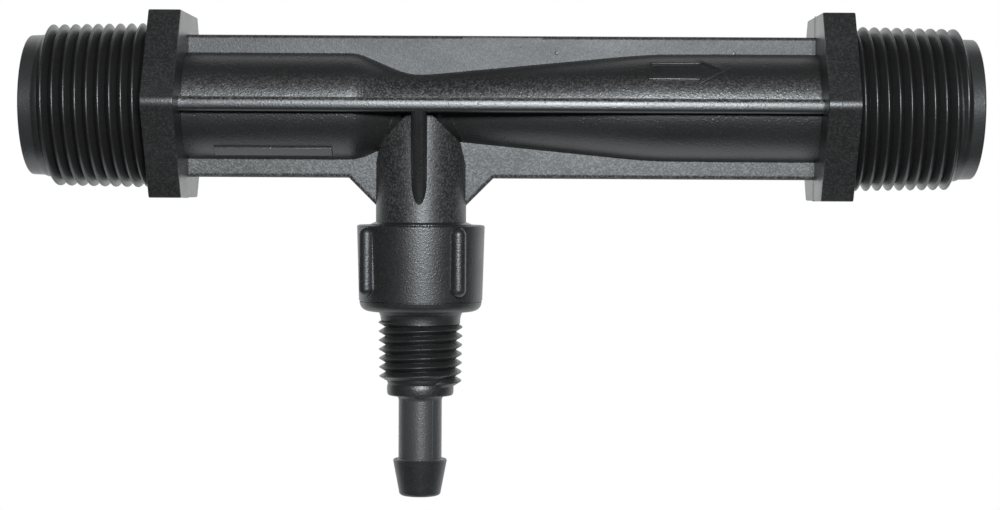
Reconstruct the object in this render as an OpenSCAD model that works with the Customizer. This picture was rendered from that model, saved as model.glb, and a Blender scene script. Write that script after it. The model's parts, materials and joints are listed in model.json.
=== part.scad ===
// Venturi fertilizer injector.
// Water runs along +X through a narrow throat, and the low pressure there draws feed up through the
// suction cap below. The origin is on the flow axis, where the full inlet thread starts. +Z is up.

/* [Pipe ends] */
// Outside diameter of the pipe threads
thread_d = 26.5; // [25:0.1:28]
// Length of the full pipe thread, up to the wrench collar
thread_l = 17.3; // [12:0.1:24]
// Length of the sloped start of the pipe thread
thread_lead = 0.9; // [0.3:0.1:1.5]
// Outside diameter of the plain tip
tip_d = 22.6; // [21:0.1:24]
// Length of the plain tip
tip_l = 2.1; // [1:0.1:5]
// Rounded edge of the plain tip
tip_edge = 0.3; // [0.1:0.1:0.8]
// Bore of the threaded ends
mouth_d = 18.6; // [15:0.1:19]

/* [Wrench collars] */
// Size across the flats of the hexagon
hex_af = 30; // [29:0.5:36]
// Width of each collar along the pipe
hex_w = 5.2; // [3:0.1:8]
// Rounding of the hexagon's corners
hex_edge = 0.9; // [0.3:0.1:1.5]
// Clear distance between the two collars
hex_span = 101.6; // [95:0.1:130]

/* [Venturi tube] */
// Outside diameter of the tube at the inlet
tube_inlet_d = 17.4; // [15:0.1:18]
// Outside diameter of the tube at the outlet
tube_outlet_d = 17.6; // [15:0.1:18]
// Wall of the tube
tube_wall = 2; // [1.5:0.1:2.2]
// Outside diameter of the throat
throat_d = 10.2; // [9.6:0.1:12]
// Bore of the throat
throat_bore_d = 6.4; // [5.8:0.1:7]
// Length of the converging cone
converge_l = 9.5; // [7:0.1:14]
// Length of the straight throat
throat_l = 2.6; // [2:0.1:5]
// Length of the throat before the suction axis
throat_before = 1.7; // [0.5:0.1:2]
// Length of the diverging cone
diverge_l = 36.8; // [28:0.1:45]
// Rounding where the inlet tube turns into the converging cone
converge_round = 14; // [4:0.5:16]
// Rounding where the converging cone turns into the throat
throat_round = 5; // [2:0.5:6]

/* [Ribs] */
// Size over two opposite ribs
rib_span = 23.14; // [21:0.1:25]
// Thickness of the upper and lower ribs
rib_t = 2.05; // [1.5:0.05:2.5]
// Thickness of the side ribs
side_rib_t = 2.3; // [1.8:0.05:2.6]
// Rounding of a side rib's edges
side_rib_edge = 0.7; // [0.3:0.1:0.8]

/* [Suction boss] */
// Distance of the suction axis from the inlet collar
port_from_collar = 37.8; // [32:0.1:42]
// Outside diameter of the boss
boss_d = 14.7; // [13.6:0.1:15]
// Length of the boss below the flow axis
boss_l = 28.6; // [27:0.1:34]
// Outside diameter of the thread for the cap
boss_thread_d = 16.6; // [16:0.1:17]
// Length of the thread for the cap
boss_thread_l = 9.8; // [6:0.1:10.4]
// Half width of the boss gable where it meets the ribs
gable_half_w = 1.7; // [1.2:0.1:2.5]
// Reach of the sloped webs beside the boss
web_reach = 4.5; // [2:0.1:5]
// Distance below the flow axis at which a gusset runs out on the boss
gusset_l = 15.2; // [12:0.1:18]
// Thickness of a gusset
gusset_t = 2.5; // [1.6:0.1:3]

/* [Check valve] */
// Bore of the valve chamber
chamber_d = 9.6; // [9:0.1:10]
// Distance of the chamber's shoulder below the flow axis
chamber_top = 14.6; // [13:0.1:16]
// Bore of the passage from the chamber to the throat
passage_d = 4.4; // [3:0.1:5]
// Diameter of the ball
ball_d = 7.94; // [7:0.01:8.2]
// Diameter of the conical seat's mouth
seat_d = 7.2; // [6.6:0.1:7.8]
// Free gap between the ball and its seat
seat_gap = 0.05; // [0.02:0.01:0.1]
// Mean diameter of the spring
spring_d = 5.2; // [4.8:0.1:6]
// Diameter of the spring wire
spring_wire = 0.3; // [0.2:0.05:0.5]
// Turns of the spring, with a closed turn at each end
spring_turns = 7; // [5:1:9]
// Gap between the closed turns at the ends of the spring
spring_turn_gap = 0.05; // [0.02:0.01:0.1]
// Free gap at each end of the spring
spring_gap = 0.05; // [0.02:0.01:0.1]
// Height of the squeezed O-ring
seal_h = 1.6; // [1.2:0.1:2]
// Mean diameter of the O-ring
seal_d = 12.6; // [12:0.1:13.4]
// Free gap on each side of the O-ring
seal_gap = 0.02; // [0.01:0.01:0.05]

/* [Suction cap] */
// Outside diameter of the cap at its rim
cap_d = 20.8; // [20:0.1:24]
// Outside diameter of the cap at its foot
cap_foot_d = 19.9; // [19.2:0.1:22]
// Height of the cap
cap_h = 14; // [12:0.1:15]
// Thickness of the cap's floor
cap_floor = 3; // [2.6:0.1:4]
// Radius of the cap's lower edge
cap_edge = 1.5; // [0.5:0.1:2]
// Radius of the cap's rim
cap_rim_edge = 0.4; // [0.2:0.1:0.6]
// Gap between the boss thread and the cap
cap_gap = 0.2; // [0.1:0.05:0.3]
// Grip lugs around the cap
lug_count = 4; // [3:1:8]
// Direction of the first lug, counted from the flow
lug_turn = 37; // [0:1:89]
// Width of a grip lug
lug_w = 2.5; // [2:0.1:3.5]
// Height that a grip lug stands proud of the cap's rim
lug_proud = 1.4; // [0.5:0.05:1.8]
// Length of a grip lug
lug_l = 11.2; // [8:0.1:11.4]
// Distance of a grip lug below the cap's rim
lug_drop = 0.2; // [0.1:0.1:1]

/* [Suction nipple and barb] */
// Bore of the nipple and the barb
barb_bore_d = 4; // [3:0.1:4.4]
// Outside diameter of the plain neck below the cap
neck_d = 13; // [12:0.1:14.4]
// Length of the plain neck below the cap
neck_l = 1.8; // [1:0.1:3]
// Rounding between the cap's foot and the neck
neck_round = 0.7; // [0.2:0.1:0.9]
// Outside diameter of the nipple's thread
nipple_thread_d = 13.5; // [12.8:0.1:14]
// Length of the nipple's thread
nipple_thread_l = 9.7; // [7:0.1:14]
// Outside diameter of the nipple's plain tip
nipple_tip_d = 10.9; // [9.5:0.05:11.5]
// Length of the nipple's plain tip
nipple_tip_l = 2.3; // [1.5:0.1:4]
// Outside diameter of the stem above the barb
stem_d = 7.06; // [6.2:0.02:7.4]
// Length of the stem above the barb
stem_l = 10.5; // [6:0.1:14]
// Rounding between the nipple's tip and the stem
stem_round = 0.9; // [0.2:0.1:1]
// Largest diameter of the barb
barb_d = 8.8; // [8:0.1:9.4]
// Diameter of the barb at its end
barb_end_d = 6.8; // [6:0.1:7.4]
// Length of the barb
barb_l = 5.9; // [4:0.1:8]
// Rounded edge of the barb's end
barb_edge = 0.4; // [0.1:0.1:0.8]

/* [Hidden] */

body_color = [0.13, 0.13, 0.14];
cap_color = [0.14, 0.14, 0.15];
seal_color = [0.06, 0.06, 0.06];
steel_color = [0.72, 0.73, 0.75];

round_fn = 64;
arc_steps = 6;
wire_sides = 8;
turn_steps = 16;
overlap = 0.5;

thread_r = thread_d / 2;
tip_r = tip_d / 2;
mouth_r = mouth_d / 2;
hex_r = hex_af / sqrt(3);
throat_r = throat_d / 2;
throat_bore_r = throat_bore_d / 2;
tube_inlet_r = tube_inlet_d / 2;
tube_outlet_r = tube_outlet_d / 2;
rib_r = rib_span / 2;
boss_r = boss_d / 2;

// Stations along the flow
end_l = tip_l + thread_lead;
tube_x0 = thread_l + hex_w;
tube_x1 = tube_x0 + hex_span;
flow_end = tube_x1 + tube_x0 + end_l;
mid_x = (tube_x0 + tube_x1) / 2;
port_x = tube_x0 + port_from_collar;
throat_x0 = port_x - throat_before;
throat_x1 = throat_x0 + throat_l;
converge_x = throat_x0 - converge_l;
diverge_x = throat_x1 + diverge_l;

// The threaded bore narrows to the tube under the collar
mouth_x = thread_l - hex_w / 2;

// Heights below the flow axis
boss_z = -boss_l;
cap_floor_z = boss_z - seal_h;
cap_foot_z = cap_floor_z - cap_floor;
cap_top_z = cap_foot_z + cap_h;
nipple_z = cap_foot_z - neck_l;
nipple_tip_z = nipple_z - nipple_thread_l;
stem_z = nipple_tip_z - nipple_tip_l;
barb_z = stem_z - stem_l;
barb_end_z = barb_z - barb_l;
socket_r = boss_thread_d / 2 + cap_gap;

// The ball sits in a 45 degree cone that opens to just under the chamber's bore
ball_r = ball_d / 2;
seat_r = seat_d / 2;
ball_z = cap_floor_z - seat_r + ball_r * sqrt(2) + seat_gap * sqrt(2);
barb_bore_r = barb_bore_d / 2;
seat_foot_z = cap_floor_z - seat_r + barb_bore_r;

// The spring's lowest turn rests round the top of the ball
spring_r = spring_d / 2;
spring_reach = ball_r + spring_wire / 2 + spring_gap;
spring_z0 = ball_z + sqrt(spring_reach * spring_reach - spring_r * spring_r);
spring_z1 = -chamber_top - spring_wire / 2 - spring_gap;
closed_pitch = spring_wire + spring_turn_gap;
open_pitch = (spring_z1 - spring_z0 - 2 * closed_pitch) / (spring_turns - 2);

// Points of an arc about [x, y], from angle a0 to a1
function arc(x, y, r, a0, a1) =
    [for (i = [0:arc_steps]) let (a = a0 + (a1 - a0) * i / arc_steps) [x + r * cos(a), y + r * sin(a)]];

function unit(v) = v / norm(v);

// Points of a round corner at b, between the lines to a and c
function round_corner(a, b, c, r) =
    let (u = unit(a - b), v = unit(c - b), half = acos(u * v) / 2, turn = 180 - 2 * half,
         centre = b + unit(u + v) * r / sin(half),
         first = b + u * r / tan(half) - centre, last = b + v * r / tan(half) - centre)
    [for (i = [0:arc_steps]) let (t = i / arc_steps)
        centre + (first * sin((1 - t) * turn) + last * sin(t * turn)) / sin(turn)];

// Height of the spring wire's centre after a number of turns
function coil_z(turn) = spring_z0
    + closed_pitch * (min(turn, 1) + max(turn - spring_turns + 1, 0))
    + open_pitch * min(max(turn - 1, 0), spring_turns - 2);

// Turns a shape that was made round Z to lie along the flow
module along_flow() {
    rotate([0, 90, 0]) children();
}

// Moves a shape to the suction axis
module at_port() {
    translate([port_x, 0, 0]) children();
}

// One end of the body's outside, from the flow axis to the collar, as [radius, distance]
function end_outline() = concat(
    [[0, -end_l]],
    arc(tip_r - tip_edge, tip_edge - end_l, tip_edge, -90, 0),
    [[tip_r, -thread_lead], [thread_r, 0], [thread_r, thread_l + overlap], [0, thread_l + overlap]]);

module threaded_end() {
    along_flow() rotate_extrude($fn = round_fn) polygon(end_outline());
}

function hex_corner(i) = hex_r * [sin(60 * i), cos(60 * i)];

module collar() {
    translate([thread_l, 0, 0]) along_flow() linear_extrude(hex_w)
        polygon([for (i = [0:5])
            each round_corner(hex_corner(i - 1), hex_corner(i), hex_corner(i + 1), hex_edge)]);
}

// The inlet end, and the outlet end as its mirror image
module both_ends() {
    children();
    translate([2 * mid_x, 0, 0]) mirror([1, 0, 0]) children();
}

module tube() {
    inlet = [tube_inlet_r, tube_x0 - overlap];
    cone_start = [tube_inlet_r, converge_x];
    throat_start = [throat_r, throat_x0];
    throat_end = [throat_r, throat_x1];
    along_flow() rotate_extrude($fn = round_fn) polygon(concat(
        [[0, tube_x0 - overlap], inlet],
        round_corner(inlet, cone_start, throat_start, converge_round),
        round_corner(cone_start, throat_start, throat_end, throat_round),
        [throat_end, [tube_outlet_r, diverge_x],
         [tube_outlet_r, tube_x1 + overlap], [0, tube_x1 + overlap]]));
}

// The way through the body
module flow_passage() {
    along_flow() rotate_extrude($fn = round_fn) polygon([
        [0, -end_l - overlap], [mouth_r, -end_l - overlap], [mouth_r, mouth_x],
        [tube_inlet_r - tube_wall, tube_x0], [tube_inlet_r - tube_wall, converge_x],
        [throat_bore_r, throat_x0], [throat_bore_r, throat_x1],
        [tube_outlet_r - tube_wall, diverge_x], [tube_outlet_r - tube_wall, tube_x1],
        [mouth_r, 2 * mid_x - mouth_x], [mouth_r, flow_end + overlap], [0, flow_end + overlap]]);
}

// A side rib's section: a plate along X with rounded edges at its reach
module side_rib_section() {
    half = side_rib_t / 2;
    foot_low = [0, -half];
    low = [rib_r, -half];
    high = [rib_r, half];
    foot_high = [0, half];
    polygon(concat([foot_low], round_corner(foot_low, low, high, side_rib_edge),
                   round_corner(low, high, foot_high, side_rib_edge), [foot_high]));
}

// A gusset's section: a bar along X with a full round nose at the origin
module gusset_section(depth) {
    half = gusset_t / 2;
    polygon(concat([[-depth, -half]], arc(-half, 0, half, -90, 90), [[-depth, half]]));
}

module ribs() {
    rib_l = hex_span + 2 * overlap;
    translate([mid_x, 0, 0]) cube([rib_l, rib_t, rib_span], center = true);
    for (side = [-90, 90])
        translate([mid_x - rib_l / 2, 0, 0]) along_flow() rotate([0, 0, side])
            linear_extrude(rib_l) side_rib_section();
}

// The boss, with its upper end cut to a gable between the ribs
module boss() {
    gable_foot = rib_t / 2 + boss_d - gable_half_w;
    at_port() intersection() {
        translate([0, 0, boss_z]) cylinder(h = boss_l, d = boss_d, $fn = round_fn);
        rotate([90, 0, 0]) linear_extrude(2 * boss_d, center = true) polygon([
            [gable_half_w, 0], [gable_half_w, -rib_t / 2], [boss_d, -gable_foot], [boss_d, boss_z - overlap],
            [-boss_d, boss_z - overlap], [-boss_d, -gable_foot], [-gable_half_w, -rib_t / 2],
            [-gable_half_w, 0]]);
    }
    at_port() translate([0, 0, boss_z]) cylinder(h = boss_thread_l, d = boss_thread_d, $fn = round_fn);
}

// Sloped webs that carry the lower rib on to the boss
module boss_webs() {
    at_port() translate([0, 0, -rib_r]) rotate([90, 0, 0]) linear_extrude(rib_t, center = true) polygon([
        [-boss_r - web_reach, overlap], [-boss_r - web_reach, 0], [-boss_r, -web_reach],
        [boss_r, -web_reach], [boss_r + web_reach, 0], [boss_r + web_reach, overlap]]);
}

// Round gussets that lean from the side ribs to the boss
module gussets() {
    lean = atan((rib_r - boss_r) / gusset_l);
    depth = boss_r - passage_d / 2;
    slope_l = norm([rib_r - boss_r, gusset_l]);
    at_port() intersection() {
        for (side = [-90, 90])
            rotate([0, 0, side]) translate([boss_r, 0, -gusset_l]) rotate([0, lean, 0])
                linear_extrude(slope_l + overlap) gusset_section(depth);
        translate([-boss_d, -rib_span, -boss_l]) cube([2 * boss_d, 2 * rib_span, boss_l]);
    }
}

// The valve chamber and the passage up to the throat
module suction_bores() {
    at_port() {
        translate([0, 0, boss_z - overlap])
            cylinder(h = boss_l + overlap - chamber_top, d = chamber_d, $fn = round_fn);
        translate([0, 0, -chamber_top - overlap])
            cylinder(h = chamber_top + overlap, d = passage_d, $fn = round_fn);
    }
}

module injector_body() {
    color(body_color) difference() {
        union() {
            both_ends() {
                threaded_end();
                collar();
            }
            tube();
            ribs();
            boss();
            boss_webs();
            gussets();
        }
        flow_passage();
        suction_bores();
    }
}

// The cap, nipple and barb in section, as [radius, height]
function cap_outline() = concat(
    [[socket_r, cap_top_z]],
    arc(cap_d / 2 - cap_rim_edge, cap_top_z - cap_rim_edge, cap_rim_edge, 90, 0),
    arc(cap_foot_d / 2 - cap_edge, cap_foot_z + cap_edge, cap_edge, 0, -90),
    arc(neck_d / 2 + neck_round, cap_foot_z - neck_round, neck_round, 90, 180),
    [[neck_d / 2, nipple_z], [nipple_thread_d / 2, nipple_z], [nipple_thread_d / 2, nipple_tip_z],
     [nipple_tip_d / 2, nipple_tip_z], [nipple_tip_d / 2, stem_z]],
    arc(stem_d / 2 + stem_round, stem_z - stem_round, stem_round, 90, 180),
    [[stem_d / 2, barb_z], [barb_d / 2, barb_z]],
    arc(barb_end_d / 2 - barb_edge, barb_end_z + barb_edge, barb_edge, 0, -90),
    [[barb_bore_r, barb_end_z], [barb_bore_r, seat_foot_z], [seat_r, cap_floor_z], [socket_r, cap_floor_z]]);

// A grip lug: a round bar with domed ends, let into the side of the cap
module lug() {
    dome = lug_w / 2;
    rotate_extrude($fn = round_fn) polygon(concat(
        [[0, 0]], arc(0, dome, dome, -90, 0), arc(0, lug_l - dome, dome, 0, 90), [[0, lug_l]]));
}

module suction_cap() {
    lug_z = cap_top_z - lug_drop - lug_l;
    color(cap_color) at_port() difference() {
        union() {
            rotate_extrude($fn = round_fn) polygon(cap_outline());
            for (i = [0:lug_count - 1])
                rotate([0, 0, lug_turn + 360 * i / lug_count])
                    translate([cap_d / 2 + lug_proud - lug_w / 2, 0, lug_z]) lug();
        }
        translate([0, 0, cap_floor_z]) cylinder(h = cap_h, r = socket_r, $fn = round_fn);
    }
}

module cap_seal() {
    color(seal_color) at_port() translate([0, 0, boss_z - seal_h / 2])
        rotate_extrude($fn = round_fn) translate([seal_d / 2, 0])
            circle(d = seal_h - 2 * seal_gap, $fn = round_fn);
}

module check_ball() {
    color(steel_color) at_port() translate([0, 0, ball_z]) sphere(d = ball_d, $fn = round_fn);
}

// A ring of points round the spring wire after a number of turns
function wire_ring(turn) =
    let (a = 360 * turn)
    [for (i = [0:wire_sides - 1])
        let (b = 360 * i / wire_sides, r = spring_r + spring_wire / 2 * cos(b))
        [r * cos(a), r * sin(a), coil_z(turn) + spring_wire / 2 * sin(b)]];

module check_spring() {
    rings = spring_turns * turn_steps;
    points = [for (i = [0:rings]) each wire_ring(i / turn_steps)];
    sides = [for (i = [0:rings - 1], j = [0:wire_sides - 1])
        let (k = (j + 1) % wire_sides, low = i * wire_sides, high = low + wire_sides)
        [low + j, high + j, high + k, low + k]];
    first = [for (j = [0:wire_sides - 1]) j];
    last = [for (j = [wire_sides - 1:-1:0]) rings * wire_sides + j];
    color(steel_color) at_port() polyhedron(points, concat([first], sides, [last]));
}

injector_body();
suction_cap();
cap_seal();
check_ball();
check_spring();
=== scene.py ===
# Venturi fertilizer injector, dressed for the photograph's view. Lengths below are in millimetres.
import json
import math

import bpy
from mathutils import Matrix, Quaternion, Vector


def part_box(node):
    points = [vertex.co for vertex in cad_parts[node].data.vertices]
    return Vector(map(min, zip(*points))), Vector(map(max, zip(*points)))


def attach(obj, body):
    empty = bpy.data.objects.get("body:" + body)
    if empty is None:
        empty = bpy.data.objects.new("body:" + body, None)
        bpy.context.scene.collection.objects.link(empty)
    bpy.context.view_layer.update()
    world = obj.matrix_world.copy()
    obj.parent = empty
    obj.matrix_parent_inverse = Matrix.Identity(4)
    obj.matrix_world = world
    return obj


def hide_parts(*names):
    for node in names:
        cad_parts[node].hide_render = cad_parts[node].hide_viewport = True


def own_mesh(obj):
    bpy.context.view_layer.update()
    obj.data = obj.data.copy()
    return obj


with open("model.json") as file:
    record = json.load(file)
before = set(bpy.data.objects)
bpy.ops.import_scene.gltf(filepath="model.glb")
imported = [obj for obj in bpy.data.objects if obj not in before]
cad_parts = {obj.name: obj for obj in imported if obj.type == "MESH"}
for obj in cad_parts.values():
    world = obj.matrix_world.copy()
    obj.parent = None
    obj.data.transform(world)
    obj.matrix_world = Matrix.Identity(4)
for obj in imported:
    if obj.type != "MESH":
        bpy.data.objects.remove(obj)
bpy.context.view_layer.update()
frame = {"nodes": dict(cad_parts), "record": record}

MM = 0.001

# Places that the frame gives
MOUNTS = {mount["name"]: mount for mount in frame["record"]["mounts"]}
BODY_LO, BODY_HI = (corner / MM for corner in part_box("injector_body"))
CAP_LO, CAP_HI = (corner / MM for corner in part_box("suction_cap"))
SPRING_LO, SPRING_HI = (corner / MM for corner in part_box("check_spring"))
INLET_END = BODY_LO.x
OUTLET_END = BODY_HI.x
MIDDLE_X = (INLET_END + OUTLET_END) / 2
HEX_TOP = BODY_HI.z
BOSS_END = BODY_LO.z
THREAD_L = MOUNTS["inlet_thread"]["dims"]["length_mm"]
PORT_X = MOUNTS["suction_thread"]["pos_m"][0] / MM
NIPPLE_END = MOUNTS["suction_thread"]["pos_m"][2] / MM
NIPPLE_START = NIPPLE_END + MOUNTS["suction_thread"]["dims"]["length_mm"]
CAP_TOP = CAP_HI.z
BARB_END = CAP_LO.z

# Pipe ends and wrench collars. FADE_GAP and FADE_TURNS say how a thread's ridge rises, in turns.
PIPE_PITCH = 25.4 / 14
PIPE_CREST_R = 13.03
PIPE_ROOT_R = 11.72
PIPE_TAPER = 1 / 52
PIPE_CROWN = 0.11
PIPE_TURNS = 11
RIDGE_SUNK = 0.6
ROOT_GROOVE = 0.5
FADE_GAP = 0.5
FADE_TURNS = 0.45
INLET_CREST_X = INLET_END + 3.56
OUTLET_CREST_X = OUTLET_END - 3.37
TIP_R = 11.3
MOUTH_R = 9.3
COLLAR_W = 5.2
COLLAR_BLUNT = 1.0
COLLAR_EDGE = 0.2
TUBE_START = THREAD_L + COLLAR_W
TUBE_END = 2 * MIDDLE_X - TUBE_START

# Tube, ribs and the lines that the mould leaves
TUBE_IN_R = 8.68
TUBE_OUT_R = 8.78
THROAT_R = 5.2
NARROWING_X = PORT_X - 2.05
WIDENING_X = PORT_X + 0.1
NARROWING = 0.424
WIDENING = 0.0958
INLET_CORNER = 0.6
OUTLET_CORNER = 0.5
NARROWING_BLEND = 1.1
WIDENING_BLEND = 0.3
THROAT_BLEND = 0.2
RIB_REACH = 11.53
RIB_HALF = 1.02
RIB_EDGE = 0.65
SIDE_RIB_REACH = 11.57
SIDE_RIB_HALF = 1.15
SIDE_RIB_CROWN_R = 3.2
RIB_LET_IN = 1
LINE_PROUD = 0.05
LINE_SHORT = 0.25
LINE_HALF = 0.07
RIB_LINE_PROUD = 0.04

# Marks of ejector pins on the upper rib: x, z, radius and height
EJECTOR_DOTS = ((76.3, 9.75, 0.14, 0.05), (82.2, 8.8, 0.3, 0.1), (110.9, 8.9, 0.3, 0.1))

# Waterway, and how far a cut runs past the faces that it opens
INLET_BORE_R = 6.5
OUTLET_BORE_R = 6.8
THROAT_BORE_R = 3.2
CONE_START = 49.2
THROAT_START = 58.7
THROAT_END = 61.3
CONE_END = 98.1
CUT_PAST = 1

# Suction boss
BOSS_R = 7.34
GABLE_HALF = 1.7
GABLE_EDGE = 0.22
SHOULDER_FOOT = -9.6
SHOULDER_LEAN = 0.25
WEB_REACH = 4.45
GUSSET_FOOT = -15.9
GUSSET_HALF = 1.25
BOSS_THREAD_R = 8.2
BOSS_THREAD_TOP = -19.05
BOSS_STEP = 0.36
BOSS_LET_IN = 0.4
CHAMBER_R = 4.8
CHAMBER_TOP = -14.6
PASSAGE_R = 2.2

# Suction cap, nipple and barb
SOCKET_R = 8.5
SOCKET_FLOOR = -30.2
CAP_R = 10.4
CAP_FOOT = -33.2
CAP_FOOT_R = 10.06
FOOT_LINE = -31.42
FLARE_H = 1.7
FLARE_W = 0.75
NECK_R = 6.47
NIPPLE_PITCH = 1.46
NIPPLE_CREST_R = 6.88
NIPPLE_ROOT_R = 5.86
NIPPLE_TAPER = 1 / 54
NIPPLE_CROWN = 0.07
NIPPLE_TURNS = 8
NIPPLE_SUNK = 0.5
NIPPLE_GROOVE = 0.2
NIPPLE_LAST_CREST = 0.62
NIPPLE_TIP_R = 5.45
NIPPLE_TIP_END = -46.92
STEM_R = 3.53
BARB_TOP = -57.5
BARB_R = 4.4
BARB_END_R = 3.42
BARB_BORE_R = 2.0
SEAT_R = 3.6
LUG_TURNS = (37, 127, 217, 307)
LUG_HALF = 1.25
LUG_REACH = 11.78
LUG_TOP = -19.42
LUG_FOOT = -30.58

# Sides of a full round, and the angles in degrees below which shading runs on
ROUND = 128
BODY_SMOOTH = 34
CAP_SMOOTH = 27
SPRING_SMOOTH = 40


# Modelling helpers

def spot(x, y, z):
    return Vector((x, y, z)) * MM


def select_only(obj):
    bpy.ops.object.select_all(action="DESELECT")
    obj.select_set(True)
    bpy.context.view_layer.objects.active = obj


def start_edit(obj, kind="VERT"):
    select_only(obj)
    bpy.ops.object.mode_set(mode="EDIT")
    bpy.ops.mesh.select_mode(type=kind)
    bpy.ops.mesh.select_all(action="SELECT")


def end_edit():
    bpy.ops.object.mode_set(mode="OBJECT")


def settle(obj):
    """Puts the object's place and turn into its mesh."""
    select_only(obj)
    bpy.ops.object.transform_apply(location=True, rotation=True, scale=True)


def use_modifier(obj, kind, **settings):
    select_only(obj)
    modifier = obj.modifiers.new(kind.lower(), kind)
    for key, value in settings.items():
        setattr(modifier, key, value)
    bpy.ops.object.modifier_apply(modifier=modifier.name)


def unite(obj, *pieces):
    for piece in pieces:
        use_modifier(obj, "BOOLEAN", operation="UNION", solver="MANIFOLD", object=piece)
        bpy.data.objects.remove(piece)


def cut(obj, *pieces):
    for piece in pieces:
        use_modifier(obj, "BOOLEAN", operation="DIFFERENCE", solver="MANIFOLD", object=piece)
        bpy.data.objects.remove(piece)


def trace(name, points):
    """Draws a line of edges through the points, corner by corner, and stays in edit mode."""
    bpy.ops.object.select_all(action="DESELECT")
    bpy.ops.mesh.primitive_plane_add(size=MM)
    obj = bpy.context.object
    obj.name = name
    start_edit(obj)
    bpy.ops.mesh.merge(type="CENTER")
    bpy.ops.transform.translate(value=points[0])
    for here, there in zip(points, points[1:]):
        bpy.ops.mesh.extrude_vertices_move(TRANSFORM_OT_translate={"value": there - here})
    bpy.ops.mesh.select_all(action="SELECT")
    bpy.ops.mesh.remove_doubles(threshold=1e-7)
    return obj


def close_shell():
    bpy.ops.mesh.select_all(action="SELECT")
    bpy.ops.mesh.remove_doubles(threshold=1e-7)
    bpy.ops.mesh.normals_make_consistent(inside=False)
    end_edit()


def lathe(name, outline, upright=False):
    """Spins an outline of (place along the axis, radius) about the flow axis or the suction axis."""
    if upright:
        points = [spot(PORT_X + r, 0, along) for along, r in outline]
        centre, axis = spot(PORT_X, 0, 0), (0, 0, 1)
    else:
        points = [spot(along, 0, r) for along, r in outline]
        centre, axis = spot(0, 0, 0), (1, 0, 0)
    obj = trace(name, points + points[:1])
    bpy.ops.mesh.spin(steps=ROUND, angle=math.tau, center=centre, axis=axis)
    close_shell()
    return obj


def prism(name, corners, push):
    """A flat outline, filled and extruded."""
    obj = trace(name, corners + corners[:1])
    bpy.ops.mesh.edge_face_add()
    bpy.ops.mesh.extrude_region_move(TRANSFORM_OT_translate={"value": push})
    close_shell()
    return obj


def block(name, lo, hi):
    bpy.ops.object.select_all(action="DESELECT")
    bpy.ops.mesh.primitive_cube_add(size=MM)
    obj = bpy.context.object
    obj.name = name
    start_edit(obj)
    bpy.ops.transform.resize(value=Vector(hi) - Vector(lo), center_override=(0, 0, 0))
    bpy.ops.transform.translate(value=(Vector(hi) + Vector(lo)) / 2 * MM)
    end_edit()
    return obj


def cylinder(name, sides, radius, depth, centre, rotation=(0, 0, 0)):
    bpy.ops.object.select_all(action="DESELECT")
    bpy.ops.mesh.primitive_cylinder_add(vertices=sides, radius=radius * MM, depth=depth * MM,
                                        location=centre, rotation=rotation)
    obj = bpy.context.object
    obj.name = name
    settle(obj)
    return obj


def outline_ring(name, corners, width, push):
    """A closed outline drawn as a flat ring and extruded."""
    obj = trace(name, corners + corners[:1])
    bpy.ops.mesh.edge_face_add()
    bpy.ops.mesh.select_mode(type="FACE")
    bpy.ops.mesh.inset(thickness=width * MM, use_even_offset=True)
    bpy.ops.mesh.delete(type="FACE")
    bpy.ops.mesh.select_all(action="SELECT")
    bpy.ops.mesh.extrude_region_move(TRANSFORM_OT_translate={"value": push})
    close_shell()
    return obj


def wind(name, points, axis, pitch, turns, steps):
    """Winds a closed outline about an axis through the origin, and leaves both ends open."""
    obj = trace(name, points + points[:1])
    end_edit()
    use_modifier(obj, "SCREW", axis=axis, angle=math.tau, screw_offset=pitch * MM, iterations=turns,
                 steps=steps, render_steps=steps)
    return obj


def close_ends(obj):
    start_edit(obj)
    bpy.ops.mesh.fill_holes(sides=0)
    close_shell()


def pick_edges(obj, chosen):
    """Selects the edges whose middle and direction are chosen, in millimetres, and stays in edit mode."""
    start_edit(obj, "EDGE")
    bpy.ops.mesh.select_all(action="DESELECT")
    end_edit()
    mesh = obj.data
    for edge in mesh.edges:
        a, b = (mesh.vertices[i].co / MM for i in edge.vertices)
        edge.select = chosen((a + b) / 2, (b - a).normalized())
    select_only(obj)
    bpy.ops.object.mode_set(mode="EDIT")


def round_edges(obj, width, segments, chosen):
    pick_edges(obj, chosen)
    bpy.ops.mesh.bevel(offset=width * MM, segments=segments, profile=0.5, affect="EDGES")
    end_edit()


def arc(x, r, radius, start, end, steps=5):
    """Points of an arc about (x, r), in degrees."""
    angles = [math.radians(start + (end - start) * i / steps) for i in range(steps + 1)]
    return [(x + radius * math.cos(a), r + radius * math.sin(a)) for a in angles]


def ease(t):
    t = min(max(t, 0.0), 1.0)
    return t * t * (3 - 2 * t)


def smooth_max(a, b, blend):
    h = max(blend - abs(a - b), 0.0) / blend
    return max(a, b) + h * h * blend / 4


def smooth_min(a, b, blend):
    return -smooth_max(-a, -b, blend)


def thread_section(pitch, root_r, crest_r, sunk, crown):
    """A sharp pipe thread's ridge with a rounded crest, as (place along the axis, radius)."""
    land, shoulder_drop, crown_drop = 0.045, 0.12, 0.025
    foot = pitch / 2 - land
    depth = crest_r - root_r
    side = [(foot, root_r - sunk), (foot, root_r), (2 * crown, crest_r - shoulder_drop * depth),
            (crown, crest_r - crown_drop * depth)]
    return [(-along, r) for along, r in side] + [(0, crest_r)] + side[::-1]


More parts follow.
